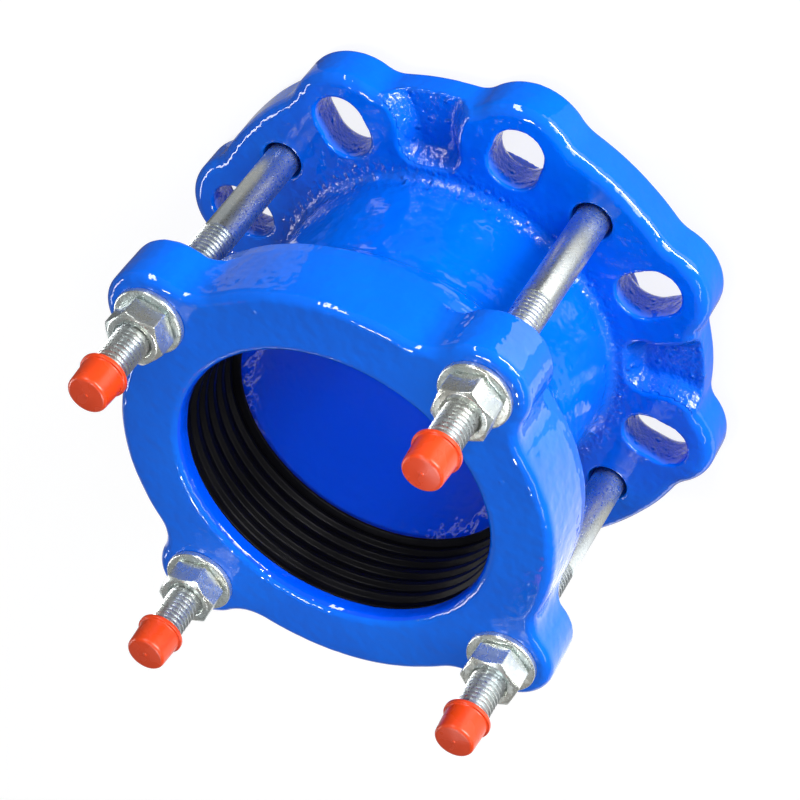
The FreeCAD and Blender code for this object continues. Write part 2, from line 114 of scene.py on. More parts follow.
# Cast relief: the long swell, the short dimples, and how far the surface is set back for them
SWELL, DIMPLE, CAST_DIMPLE = 0.06, 0.010, 0.06
SET_BACK, CAST_SET_BACK, HIGHEST, LOWEST = 0.10, 0.05, 0.09, 0.5


# Distances
def both(a, b, r):
    """Where both shapes are, with the edge between them rounded to r."""
    return np.minimum(-r, np.maximum(a, b)) + np.hypot(np.maximum(a + r, 0), np.maximum(b + r, 0))


def either(a, b, r):
    """Where either shape is, with the inner corner between them filled to r."""
    return np.maximum(r, np.minimum(a, b)) - np.hypot(np.maximum(r - a, 0), np.maximum(r - b, 0))


def without(a, b, r):
    """Where the first shape is and the second isn't, with the edge between them rounded to r."""
    return both(a, -b, r)


def fold(x, y):
    """The same place in the eighth of the casting that runs from a saddle to a bolt."""
    radius = np.hypot(x, y)
    turn = np.abs((np.arctan2(y, x) + BOLT_ANGLE) % (2 * BOLT_ANGLE) - BOLT_ANGLE)
    return radius, turn, radius * np.cos(turn), radius * np.sin(turn)


def blend_centre(angle, side, circle, lobe, base, blend):
    """Centre of the arc that joins a lobe, at angle on its circle, to the arc about the axis."""
    reach = base + blend
    swing = math.acos((reach**2 + circle**2 - (lobe + blend)**2) / (2 * reach * circle))
    return reach * math.cos(angle + side * swing), reach * math.sin(angle + side * swing)


def in_wedge(u, v, tip, end):
    """Where a place lies between the lines from tip to the axis and from tip to end."""
    ax, ay, ex, ey = -tip[0], -tip[1], end[0] - tip[0], end[1] - tip[1]
    hand = math.copysign(1.0, ax * ey - ay * ex)
    qx, qy = u - tip[0], v - tip[1]
    return (hand * (ax * qy - ay * qx) >= 0) & (hand * (qx * ey - qy * ex) >= 0)


def beside_lobe(u, v, side, angle, circle, lobe, base, blend):
    """Distance to a lobe, to the arc about the axis beside it and to the blend between them."""
    bx, by = blend_centre(angle, side, circle, lobe, base, blend)
    lx, ly = circle * math.cos(angle), circle * math.sin(angle)
    plain = np.minimum(np.hypot(u, v) - base, np.hypot(u - lx, v - ly) - lobe)
    rim = np.where(in_wedge(u, v, (bx, by), (lx, ly)), blend - np.hypot(u - bx, v - by), plain)
    deepest = -14.0
    return np.maximum(rim, deepest)


def hollow_distance(u, v, z):
    """The hollow sunk between two pairs of holes: sloped sides, flat floor, open at the rim."""
    lx, ly = HOLE_CIRCLE * math.cos(LOBE_ANGLE), HOLE_CIRCLE * math.sin(LOBE_ANGLE)
    bx, by = blend_centre(LOBE_ANGLE, -1, HOLE_CIRCLE, LOBE, SADDLE, SADDLE_BLEND)
    length = math.hypot(bx - lx, by - ly)
    ox, oy = (bx - lx) / length, (by - ly) / length
    reach = LOBE + HOLLOW_OVERRUN - HOLLOW_SIDE
    hx, hy = lx + ox * reach, ly + oy * reach
    hub, hub_angle = math.hypot(hx, hy), math.atan2(hy, hx)
    cx, cy = blend_centre(hub_angle, -1, hub, HOLLOW_SIDE, HOLLOW_INNER, HOLLOW_CORNER)
    plain = np.maximum(HOLLOW_INNER - np.hypot(u, v), HOLLOW_SIDE - np.hypot(u - hx, v - hy))
    corner = np.hypot(u - cx, v - cy) - HOLLOW_CORNER
    wall = np.where(in_wedge(u, v, (cx, cy), (hx, hy)), corner, plain)
    inset = (FRONT - z) * math.tan(HOLLOW_SLOPE)
    wall = (wall + inset) * math.cos(HOLLOW_SLOPE)
    wall = np.maximum(wall, ox * (v - hy) - oy * (u - hx))
    return both(wall, (FRONT - HOLLOW_DEPTH) - z, HOLLOW_FOOT)


def slot_distance(u, v):
    along = u * math.cos(LOBE_ANGLE) + v * math.sin(LOBE_ANGLE) - HOLE_CIRCLE
    across = v * math.cos(LOBE_ANGLE) - u * math.sin(LOBE_ANGLE)
    return np.hypot(np.maximum(np.abs(along) - HOLE_HALF_STRETCH, 0), across) - HOLE_HALF_WIDTH


def sleeve_distance(radius, z):
    """Outside of the sleeve, which flares through two arcs into the bell."""
    rise, run = (BELL - SLEEVE) / 2, (FLARE_HIGH - FLARE_LOW) / 2
    bend = (rise**2 + run**2) / (2 * rise)
    low = bend - np.hypot(radius - SLEEVE - bend, z - FLARE_LOW)
    low = np.maximum(low, radius - SLEEVE - rise)
    high = np.hypot(radius - BELL + bend, z - FLARE_HIGH) - bend
    flare = np.where(z < FLARE_LOW + run, low, high)
    side = np.where(z < FLARE_LOW, radius - SLEEVE, np.where(z > FLARE_HIGH, radius - BELL, flare))
    return np.maximum(both(side, z - BELL_MOUTH, BELL_EDGE), BACK - z)


def from_bolt(u, v):
    """Distance from the nearest bolt's axis."""
    bx, by = BOLT_CIRCLE * math.cos(BOLT_ANGLE), BOLT_CIRCLE * math.sin(BOLT_ANGLE)
    return np.hypot(u - bx, v - by)


def pocket_distance(u, v, z):
    """The pocket in the flange's back that holds a bolt's head from turning."""
    along = np.abs((u + v) * math.sqrt(0.5) - BOLT_CIRCLE) - POCKET_LENGTH / 2 + POCKET_CORNER
    across = np.abs((v - u) * math.sqrt(0.5)) - POCKET_WIDTH / 2 + POCKET_CORNER
    flat = (np.hypot(np.maximum(along, 0), np.maximum(across, 0))
            + np.minimum(np.maximum(along, across), 0) - POCKET_CORNER)
    return both(flat, z - HEAD_SEAT, POCKET_FOOT)


def flange_distance(x, y, z):
    radius, turn, u, v = fold(x, y)
    rim = np.where(turn < LOBE_ANGLE,
                   beside_lobe(u, v, -1, LOBE_ANGLE, HOLE_CIRCLE, LOBE, SADDLE, SADDLE_BLEND),
                   beside_lobe(u, v, 1, LOBE_ANGLE, HOLE_CIRCLE, LOBE, WEB, WEB_BLEND))
    plate = both(both(rim, z - FRONT, RIM_EDGE), BACK - z, BACK_EDGE)
    plate = without(plate, hollow_distance(u, v, z), HOLLOW_EDGE)
    slot_edge = np.where(z > (FRONT + BACK) / 2, SLOT_EDGE, SLOT_BACK_EDGE)
    plate = without(plate, slot_distance(u, v), slot_edge)
    face = both(radius - RAISED_FACE, FACE - z, FACE_EDGE)
    body = either(plate, sleeve_distance(radius, z), SLEEVE_ROOT)
    body = np.minimum(body, np.maximum(face, z - FRONT + FACE_INSET))
    taper = (z - SEAT_FLOOR) * (SEAT_MOUTH - SEAT_TOE) / SEAT_DEPTH
    seat = (radius - SEAT_TOE - taper) * SEAT_COSINE
    body = without(body, np.maximum(seat, SEAT_FLOOR - z), SEAT_EDGE)
    chamfer = (radius - BORE - BORE_CHAMFER + z) * math.sqrt(0.5)
    body = without(body, np.minimum(radius - BORE, chamfer), BORE_EDGE)
    body = without(body, from_bolt(u, v) - BOLT_HOLE, BOLT_HOLE_EDGE)
    return without(body, pocket_distance(u, v, z), POCKET_EDGE)


def flange_rough_and_shade(x, y, z):
    """How rough the casting is, from 0 on the dressed faces to 1 in hollows and holes. The same share
    also paints shade, a darker blue, into these hollows, holes and the sleeve's root.
    """
    radius, turn, u, v = fold(x, y)
    hollow = np.clip(1.4 - hollow_distance(u, v, z), 0, 1) * (z < FRONT - 1)
    slot = np.clip(1.3 - slot_distance(u, v), 0, 1) * np.clip((FRONT - 2 - z) / 4, 0, 1)
    root = np.clip(1.8 - np.hypot(radius - SLEEVE - 2, z - FRONT - 2) / 4, 0, 1)
    return np.maximum(np.maximum(hollow, slot), 0.75 * root * (radius > BORE + 2))


def gland_distance(x, y, z):
    radius, _, u, v = fold(x, y)
    rim = beside_lobe(u, v, -1, BOLT_ANGLE, BOLT_CIRCLE, GLAND_LOBE, GLAND, GLAND_BLEND)
    skirt = GLAND - SKIRT_TAPER * np.clip((EAR_BACK - EAR_ROOT - z) / SKIRT_TAPER_RUN, 0, 1)
    behind_ears = both(skirt - radius, z - EAR_BACK, EAR_ROOT)
    # Sharp at the skirt, rounder towards the tips of the ears
    ear_edge = 0.05 + 1.45 * np.clip((radius - GLAND - 0.5) / 4, 0, 1)
    ring = without(both(rim, z - GLAND_FACE, GLAND_EDGE), behind_ears, ear_edge)
    ring = both(ring, GLAND_BACK - z, GLAND_BACK_EDGE)
    ring = without(ring, radius - GLAND_BORE, GLAND_EDGE)
    cone = (radius - CUP + CUP_CONE) * CUP_CONE_RISE + (z - GLAND_SEAT) * CUP_CONE
    cone = cone / math.hypot(CUP_CONE, CUP_CONE_RISE)
    cup = both(both(radius - CUP, cone, CUP_EDGE), z - GLAND_SEAT, CUP_EDGE)
    ring = without(ring, cup, CUP_EDGE)
    return without(ring, from_bolt(u, v) - BOLT_HOLE, GLAND_HOLE_EDGE)


def gland_rough_and_shade(x, y, z):
    """How rough the gland is: only its back and the backs of its ears are left as they came from the
    casting. The same share also paints shade, a darker blue, on these backs.
    """
    radius = np.hypot(x, y)
    back = np.where(radius > GLAND + 1, EAR_BACK, GLAND_BACK)
    return 0.6 * np.clip((back + 3 - z) / 3, 0, 1)


def hex_distance(x, y, flats, r):
    """A hexagon with two of its corners on X, its corners rounded to r."""
    sides = [np.abs(x * math.sin(a) + y * math.cos(a)) - flats / 2
             for a in (0, math.pi / 3, 2 * math.pi / 3)]
    return both(both(sides[0], sides[1], r), sides[2], r)


def chamfered_hex(x, y, z, low, high, flats):
    """A hexagon between two heights, with a shallow cone turned on each end."""
    radius = np.hypot(x, y)
    side = hex_distance(x, y, flats, HEX_CORNER)
    inner = HEX_CONE * flats / 2
    for out in (z - high, low - z):
        cone = (radius - inner) * math.sin(HEX_SLOPE) + out * math.cos(HEX_SLOPE)
        side = both(both(side, cone, HEX_EDGE), out, HEX_EDGE)
    return side


def nut_distance(x, y, z):
    """A nut that stands on height 0, its hole countersunk at both ends."""
    height = NUT_TOP - NUT_SEAT
    radius = np.hypot(x, y)
    blank = chamfered_hex(x, y, z, 0.0, height, NUT_FLATS)
    top = (radius - BOLT - NUT_SINK + (height - z)) * math.sqrt(0.5)
    foot = (radius - BOLT - NUT_SINK + z) * math.sqrt(0.5)
    hole = np.minimum(np.minimum(radius - BOLT + NUT_BITE, top), foot)
    return without(blank, hole, 0.1)


def head_distance(x, y, z):
    return chamfered_hex(x, y, z, HEAD_FOOT, HEAD_SEAT, HEAD_FLATS)


def ripples(seed, longest, shortest, count):
    """A smooth uneven field between about -1 and 1, made of waves in all directions."""
    dice = np.random.default_rng(seed)
    aim = dice.normal(size=(count, 3))
    aim /= np.linalg.norm(aim, axis=1)[:, None]
    aim *= 2 * math.pi / dice.uniform(shortest, longest, count)[:, None]
    start = dice.uniform(0, 2 * math.pi, count)

    def field(x, y, z):
        total = 0.0
        for (kx, ky, kz), phase in zip(aim, start):
            total = total + np.sin(kx * x + ky * y + kz * z + phase)
        return total / math.sqrt(count)
    return field


swell = ripples(3, 34.0, 16.0, 10)
dimple = ripples(5, 7.0, 3.6, 16)


def uneven(distance, rough_and_shade):
    """The same shape as a rough casting: what it adds is only ever taken off the surface."""
    def field(x, y, z):
        mask = rough_and_shade(x, y, z)
        relief = SWELL * swell(x, y, z) + (DIMPLE + CAST_DIMPLE * mask) * dimple(x, y, z)
        relief = np.clip(relief, -HIGHEST - CAST_SET_BACK * mask, LOWEST)
        return distance(x, y, z) + SET_BACK + CAST_SET_BACK * mask + relief
    return field


# Meshes
CORNERS = [(i, j, k) for i in (0, 1) for j in (0, 1) for k in (0, 1)]


def gradient(field, p, step):
    sides = []
    for axis in range(3):
        d = np.zeros(3)
        d[axis] = step
        sides.append(field(*(p + d).T) - field(*(p - d).T))
    return np.stack(sides, axis=1) / (2 * step)


def cut_cells(inside):
    """The cells of a grid that a surface passes through, and a grid of their numbers."""
    a, b, c = (size - 1 for size in inside.shape)
    filled = sum(inside[i:i + a, j:j + b, k:k + c].astype(np.int8) for i, j, k in CORNERS)
    active = (filled > 0) & (filled < len(CORNERS))
    cells = np.argwhere(active)
    number = np.full(active.shape, -1)
    number[active] = np.arange(len(cells))
    return cells, number


def crossing_means(value, cells):
    """In each cell, the mean of the places where the surface crosses the cell's edges."""
    total, count = np.zeros((len(cells), 3)), np.zeros(len(cells))
    for axis in range(3):
        for start in (corner for corner in CORNERS if corner[axis] == 0):
            stop = list(start)
            stop[axis] = 1
            a, b = value[tuple((cells + start).T)], value[tuple((cells + stop).T)]
            crossed = (a < 0) != (b < 0)
            share = np.where(crossed, a / np.where(crossed, a - b, 1), 0)
            place = np.tile(np.array(start, float), (len(cells), 1))
            place[:, axis] = share
            total += place * crossed[:, None]
            count += crossed
    return total / count[:, None]


def net_quads(inside, number):
    """A face round each edge of the grid that has one end inside and one end outside."""
    quads = []
    for axis in range(3):
        one, two = (axis + 1) % 3, (axis + 2) % 3
        ahead = [slice(None)] * 3
        ahead[axis] = slice(1, None)
        behind = [slice(None)] * 3
        behind[axis] = slice(None, -1)
        at = np.argwhere(inside[tuple(behind)] != inside[tuple(ahead)])
        at = at[(at[:, one] > 0) & (at[:, two] > 0)]
        ring = []
        for da, db in ((1, 1), (0, 1), (0, 0), (1, 0)):
            c = at.copy()
            c[:, one] -= da
            c[:, two] -= db
            ring.append(number[tuple(c.T)])
        quad = np.stack(ring, axis=1)
        outward = inside[tuple(at.T)]
        quads.append(np.where(outward[:, None], quad, quad[:, ::-1]))
    return np.concatenate(quads)


def surface_net(shape, field, low, high, cell):
    """Quads over the surface where shape is zero, their corners pulled onto field's surface."""
    axes = [np.arange(a - 1.5 * cell, b + 2.5 * cell, cell) for a, b in zip(low, high)]
    value = shape(*np.meshgrid(*axes, indexing="ij", sparse=True))
    inside = value < 0
    cells, number = cut_cells(inside)
    quads = net_quads(inside, number)
    p = np.array([a[0] for a in axes]) + (cells + crossing_means(value, cells)) * cell
    pulls, relaxing_pulls = 5, 2
    for pull in range(pulls):
        if pull < relaxing_pulls:
            p = relaxed(p, quads)
        slope = gradient(field, p, 0.02 * cell)
        size = np.maximum((slope**2).sum(1), 0.2)
        step = field(*p.T) / size
        p = p - slope * np.clip(step, -cell, cell)[:, None]
    normals = gradient(field, p, 0.12 * cell)
    normals /= np.maximum(np.linalg.norm(normals, axis=1), 1e-9)[:, None]
    return p, quads, normals


def relaxed(p, quads):
    """Each corner moved halfway to the mean of its neighbours."""
    total, count = np.zeros_like(p), np.zeros(len(p))
    for a, b in ((0, 1), (1, 2), (2, 3), (3, 0)):
        for here, there in ((quads[:, a], quads[:, b]), (quads[:, b], quads[:, a])):
            for axis in range(3):
                total[:, axis] += np.bincount(here, p[there, axis], len(p))
            count += np.bincount(here, minlength=len(p))
    return 0.5 * p + 0.5 * total / np.maximum(count, 1)[:, None]


def make_object(name, p, faces, material, normals=None, rough_and_shade=None, sharp=None):
    mesh = bpy.data.meshes.new(name)
    mesh.from_pydata((np.asarray(p) * MM).tolist(), [], [list(map(int, f)) for f in faces])
    mesh.update()
    mesh.polygons.foreach_set("use_smooth", [True] * len(mesh.polygons))
    if normals is not None:
        mesh.normals_split_custom_set_from_vertices(np.asarray(normals).tolist())
    if sharp is not None:
        mesh.set_sharp_from_angle(angle=math.radians(sharp))
    if rough_and_shade is not None:
        layer = mesh.attributes.new("rough_and_shade", "FLOAT", "POINT")
        layer.data.foreach_set("value", np.asarray(rough_and_shade, np.float32))
    mesh.materials.append(material)
    obj = bpy.data.objects.new(name, mesh)
    bpy.context.scene.collection.objects.link(obj)
    return obj


def part_of(p, quads, normals, keep):
    """The faces that keep picks, with only the corners that they use."""
    chosen = quads[keep]
    used, faces = np.unique(chosen, return_inverse=True)
    return p[used], faces.reshape(chosen.shape), normals[used]


def lathe(profile, segments):
    """A closed profile of (radius, height), turned about the axis."""
    profile = np.asarray(profile, float)
    turn = np.arange(segments) * 2 * math.pi / segments
    m = len(profile)
    p = np.empty((segments, m, 3))
    p[:, :, 0] = np.cos(turn)[:, None] * profile[:, 0]
    p[:, :, 1] = np.sin(turn)[:, None] * profile[:, 0]
    p[:, :, 2] = profile[:, 1]
    i = np.arange(segments)[:, None]
    j = np.arange(m)[None, :]
    i2, j2 = (i + 1) % segments, (j + 1) % m
    quads = np.stack([i * m + j, i2 * m + j, i2 * m + j2, i * m + j2], axis=-1).reshape(-1, 4)
    return p.reshape(-1, 3), quads


def rounded(points, radii, steps=4):
    """A closed outline with each corner rounded to its own radius. It runs anticlockwise."""
    points = [np.array(q, float) for q in points]
    out = []
    for k, (q, r) in enumerate(zip(points, radii)):
        if r <= 0:
            out.append(q)
            continue
        before, after = points[k - 1] - q, points[(k + 1) % len(points)] - q
        a, b = before / np.linalg.norm(before), after / np.linalg.norm(after)
        half = math.acos(max(-1, min(1, float(a @ b)))) / 2
        reach = min(r / math.tan(half), 0.48 * np.linalg.norm(before), 0.48 * np.linalg.norm(after))
        start, stop = q + a * reach, q + b * reach
        for t in np.linspace(0, 1, steps + 1):
            out.append((1 - t)**2 * start + 2 * t * (1 - t) * q + t**2 * stop)
    return out


def thread(start, stop, radius, pitch, depth, segments):
    """A rolled right-hand thread that fades in at its start and is chamfered at its tip."""
    turns = int(math.ceil((stop - start) / pitch)) + 1
    n = np.arange(turns * segments + 1)
    fade_turns = 1.6
    ramp = np.clip(n / (fade_turns * segments), 0, 1)
    levels, radii = [], []
    # The root's two ends, then the crest's, as shares of the pitch
    for share, deep in ((0.0, 1), (0.22, 1), (0.56, 0), (0.70, 0)):
        levels.append(start + pitch * (n / segments + share))
        radii.append(radius - depth * deep * ramp)
    z, r = np.stack(levels, 1), np.stack(radii, 1)
    r = np.minimum(r, radius - np.clip(z - (stop - TIP_CHAMFER), 0, TIP_CHAMFER))
    z = np.minimum(z, stop)
    turn = (n * 2 * math.pi / segments)[:, None]
    p = np.stack([r * np.cos(turn), r * np.sin(turn), z], axis=-1).reshape(-1, 3)
    quads = []
    k = n[:-1]
    for j in range(3):
        quads.append(np.stack([4 * k + j, 4 * (k + 1) + j, 4 * (k + 1) + j + 1, 4 * k + j + 1], 1))
    k = n[:-1 - segments]
    up = k + segments
    quads.append(np.stack([4 * k + 3, 4 * (k + 1) + 3, 4 * (up + 1), 4 * up], 1))
    return p, np.concatenate(quads)


def joined(*meshes):
    """Several meshes as one."""
    points, faces, base = [], [], 0
    for p, q in meshes:
        points.append(p)
        faces.append(np.asarray(q) + base)
        base += len(p)
    return np.concatenate(points), np.concatenate(faces)


# Materials
class Graph:
    """Short way to write a material's nodes."""

    def __init__(self, name):
        self.material = bpy.data.materials.new(name)
        self.material.use_nodes = True
        self.tree = self.material.node_tree
        self.shader = self.tree.nodes["Principled BSDF"]

    def node(self, kind, **settings):
        made = self.tree.nodes.new(kind)
        for key, value in settings.items():
            setattr(made, key, value)
        return made

    def link(self, source, target):
        self.tree.links.new(source, target)

    def put(self, socket, value):
        if isinstance(value, bpy.types.NodeSocket):
            self.link(value, socket)
        else:
            socket.default_value = value

    def place(self, scale=(1, 1, 1)):
        coordinates = self.node("ShaderNodeTexCoord")
        mapping = self.node("ShaderNodeMapping")
        mapping.inputs["Scale"].default_value = scale
        self.link(coordinates.outputs["Object"], mapping.inputs["Vector"])
        return mapping.outputs["Vector"]

    def noise(self, where, scale, detail=2.0, rough=0.5):
        made = self.node("ShaderNodeTexNoise")
        self.link(where, made.inputs["Vector"])
        made.inputs["Scale"].default_value = scale
        made.inputs["Detail"].default_value = detail
        made.inputs["Roughness"].default_value = rough
        return made.outputs["Fac"]

    def dots(self, where, scale):
        """Distance to the nearest of many scattered points, in cells."""
        made = self.node("ShaderNodeTexVoronoi", feature="F1")
        self.link(where, made.inputs["Vector"])
        made.inputs["Scale"].default_value = scale
        return made.outputs["Distance"]

    def spread(self, value, low, high, to_low, to_high):
        made = self.node("ShaderNodeMapRange", interpolation_type="SMOOTHSTEP")
        self.link(value, made.inputs["Value"])
        for key, number in (("From Min", low), ("From Max", high),
                            ("To Min", to_low), ("To Max", to_high)):
            made.inputs[key].default_value = number
        return made.outputs["Result"]

    def math(self, operation, a, b):
        made = self.node("ShaderNodeMath", operation=operation)
        self.put(made.inputs[0], a)
        self.put(made.inputs[1], b)
        return made.outputs["Value"]

    def mix(self, share, a, b):
        """A colour between two. The node's colour sockets can only be told by their place."""
        colour_a, colour_b, colour_result = 6, 7, 2
        made = self.node("ShaderNodeMix", data_type="RGBA")
        self.put(made.inputs["Factor"], share)
        self.put(made.inputs[colour_a], a)
        self.put(made.inputs[colour_b], b)
        return made.outputs[colour_result]

    def bump(self, height, distance, normal=None):
        made = self.node("ShaderNodeBump")
        made.inputs["Strength"].default_value = 1.0
        made.inputs["Distance"].default_value = distance
        self.link(height, made.inputs["Height"])
        if normal is not None:
            self.link(normal, made.inputs["Normal"])
        return made.outputs["Normal"]

    def surface(self, **values):
        for key, value in values.items():
            self.put(self.shader.inputs[key.replace("_", " ")], value)
        return self.material


def blue_epoxy():
    g = Graph("blue_epoxy")
    where = g.place()
    rough_and_shade = g.node("ShaderNodeAttribute", attribute_name="rough_and_shade").outputs["Fac"]
    peel = g.noise(where, 240.0, 1.0, 0.45)
    grit = g.math("MULTIPLY", g.noise(where, 520.0, 2.0, 0.5), g.spread(rough_and_shade, 0.05, 0.9, 0.0, 1.0))
    runs = g.noise(g.place((1, 1, 0.12)), 420.0, 2.0, 0.5)
    pimple = g.spread(g.dots(where, 62.0), 0.0, 0.075, 1.0, 0.0)
    bead = g.math("MULTIPLY", g.spread(g.dots(where, 230.0), 0.0, 0.30, 1.0, 0.0), rough_and_shade)
    normal = g.bump(peel, 0.00036)
    normal = g.bump(runs, 0.00003, normal)
    normal = g.bump(grit, 0.00060, normal)
    normal = g.bump(bead, 0.00060, normal)
    normal = g.bump(pimple, 0.00014, normal)
    colour = g.mix(g.spread(g.noise(where, 30.0, 3.0), 0.35, 0.65, 0.0, 1.0),
                   (0.0, 0.136, 0.83, 1), (0.0, 0.154, 0.89, 1))
    # Painted shade: the rough places, which lie in shade (hollows, holes, the sleeve's root, the gland's
    # back), are painted a darker, deeper blue
    colour = g.mix(g.math("MULTIPLY", rough_and_shade, 0.35), colour, (0.0, 0.100, 0.72, 1))
    # Painted shade: the inside of the bore is painted a deeper, more saturated blue
    across = g.node("ShaderNodeVectorMath", operation="LENGTH")
    g.link(g.place((1, 1, 0)), across.inputs[0])
    inside = g.spread(across.outputs["Value"], (BORE + 0.4) * MM, (BORE + 0.7) * MM, 1.0, 0.0)
    colour = g.mix(inside, colour, (0.0, 0.090, 0.95, 1))
    return g.surface(Base_Color=colour, Roughness=g.spread(peel, 0.3, 0.7, 0.010, 0.025),
                     Specular_IOR_Level=0.50, Normal=normal)


def zinc_plate(name, cool, warm, metal, rough_low, rough_high, grain, relief):
    g = Graph(name)
    where = g.place()
    mottle = g.noise(where, grain, 4.0, 0.6)
    broad = g.noise(where, 60.0, 2.0, 0.5)
    colour = g.mix(g.spread(broad, 0.38, 0.62, 0.0, 1.0), cool, warm)
    colour = g.mix(g.spread(mottle, 0.35, 0.65, 0.0, 0.45), colour, (0.42, 0.47, 0.50, 1))
    return g.surface(Base_Color=colour, Metallic=metal,
                     Roughness=g.spread(mottle, 0.3, 0.7, rough_low, rough_high),
                     Normal=g.bump(mottle, relief))


def black_rubber():
    g = Graph("black_rubber")
    where = g.place()
    grain = g.noise(where, 900.0, 3.0, 0.6)
    haze = g.noise(where, 70.0, 3.0, 0.5)
    return g.surface(Base_Color=g.mix(haze, (0.002, 0.002, 0.003, 1), (0.005, 0.005, 0.007, 1)),
                     Roughness=g.spread(haze, 0.3, 0.7, 0.30, 0.42), Specular_IOR_Level=0.12,
                     Normal=g.bump(grain, 0.00004))


def orange_plastic():
    g = Graph("orange_plastic")
    where = g.place()
    grain = g.noise(where, 500.0, 2.0, 0.5)
    haze = g.noise(where, 120.0, 2.0, 0.5)
    return g.surface(Base_Color=g.mix(haze, (0.74, 0.050, 0.004, 1), (0.82, 0.063, 0.005, 1)),
                     Roughness=g.spread(haze, 0.3, 0.7, 0.22, 0.32), Specular_IOR_Level=0.50,
                     Normal=g.bump(grain, 0.00003))


def plain_cad():
    """Finish of the CAD nodes that stay hidden behind finer pieces."""
    g = Graph("plain_cad")
    mottle = g.noise(g.place(), 40.0)
    return g.surface(Base_Color=g.mix(mottle, (0.3, 0.3, 0.3, 1), (0.35, 0.35, 0.35, 1)))


EPOXY = blue_epoxy()
ZINC = zinc_plate("zinc_bright", (0.68, 0.74, 0.72, 1), (0.78, 0.78, 0.70, 1), 0.88, 0.20, 0.34,
                  400.0, 0.00003)
ZINC_SHANK = zinc_plate("zinc_shank", (0.66, 0.71, 0.72, 1), (0.76, 0.78, 0.74, 1), 1.0, 0.24, 0.38,
                        1300.0, 0.00007)
RUBBER = black_rubber()
ORANGE = orange_plastic()
HIDDEN = plain_cad()
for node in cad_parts.values():
    node.data.materials.clear()
    node.data.materials.append(HIDDEN)


# Pieces
def detail(full, quick):
    return full


def finish_piece(piece, body, node):
    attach(piece, body)
    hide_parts(node)


def cast_net(distance, rough_and_shade, reach, low, high, cell):
    """The net of a rough casting that lies within reach of the axis, between two heights."""
    field = uneven(distance, rough_and_shade)
    return surface_net(distance, field, (-reach, -reach, low), (reach, reach, high), cell)


def castings():
    p, quads, normals = cast_net(flange_distance, flange_rough_and_shade, FLANGE_REACH, FACE, BELL_MOUTH,
                                 detail(0.98, 1.9))
    middle = p[quads].mean(axis=1)[:, 2]
    split = FRONT + 6.0
    for name, keep in (("flange_casting", middle < split), ("sleeve_casting", middle >= split)):
        some, faces, shade = part_of(p, quads, normals, keep)
        piece = make_object(name, some, faces, EPOXY, shade, flange_rough_and_shade(*some.T))
        finish_piece(piece, "body", "flange_body")
    p, quads, normals = cast_net(gland_distance, gland_rough_and_shade, GLAND_REACH, GLAND_BACK, GLAND_FACE,
                                 detail(0.86, 1.6))
    piece = make_object("gland_casting", p, quads, EPOXY, normals, gland_rough_and_shade(*p.T))
    finish_piece(piece, "gland", "gland_ring")


def gasket():
    """A ribbed wedge in the bell's seat, with a lip at its toe and a head in the gland's cup."""
    crest, groove, lip = BORE - 0.8, BORE + 0.9, BORE - 3.1
    toe, front = GASKET_TOE, GASKET_FRONT
    ribs = 5
    pitch = (front - toe) / (ribs + 0.5)
    seat, head, gap = SEAT_MOUTH - 0.2, CUP - 0.6, 0.2
    head_foot = BELL_MOUTH + 0.6
    corners = [(crest + 0.5, front, 0.6)]
    for k in range(1, ribs + 1):
        rib = front - k * pitch
        corners += [(groove, rib + pitch / 2 + 0.55, 0.9), (groove, rib + 1.95, 0.9),
                    (crest, rib + 0.85, 0.7), (crest, rib - 0.75, 0.7), (groove, rib - 1.9, 0.9)]
    corners += [(groove, toe + 1.9, 0.6), (lip, toe + 1.0, 0.35), (lip, toe, 0.35),
                (SEAT_TOE + 0.1, toe, 0.5), (seat, BELL_MOUTH, 0), (seat, head_foot, 0),
                (head, head_foot, 0.8), (head, GLAND_SEAT - CUP_CONE_RISE - gap, 0.8),
                (CUP - CUP_CONE - gap, front, 0.5)]
    profile = rounded([c[:2] for c in corners], [c[2] for c in corners], 5)[::-1]
    p, quads = lathe(profile, detail(180, 72))
    piece = make_object("gasket_rubber", p, quads, RUBBER, sharp=50)
    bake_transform(piece)
    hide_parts("pipe_gasket")


def turned(p, angle):
    """Points or normals, turned about the axis."""
    c, s = math.cos(angle), math.sin(angle)
    return np.stack([p[:, 0] * c - p[:, 1] * s, p[:, 0] * s + p[:, 1] * c, p[:, 2]], axis=1)


def bolt_turn(k):
    return BOLT_ANGLE + (k - 1) * math.pi / 2


def at_bolt(k, p, spin=0.0):
    """Points drawn about the axis, spun and carried out to bolt k."""
    angle = bolt_turn(k)
    away = (BOLT_CIRCLE * math.cos(angle), BOLT_CIRCLE * math.sin(angle), 0)
    return turned(p, angle + spin) + away


def bolt_rod():
    """A bolt without its head: plain shank, thread, and the disc that closes the tip."""
    foot, end = HEAD_SEAT - 0.5, THREAD_START + 2.4
    shank, tip, tip_foot = BOLT - 0.01, BOLT - TIP_CHAMFER, BOLT_TIP - 0.3
    sides = 40
    return joined(
        lathe([(shank, foot), (shank, end), (AXIS, end), (AXIS, foot)], sides),
        thread(THREAD_START, BOLT_TIP, BOLT, PITCH, THREAD_DEPTH, sides),
        lathe([(tip, tip_foot), (tip, BOLT_TIP), (AXIS, BOLT_TIP), (AXIS, tip_foot)], sides))


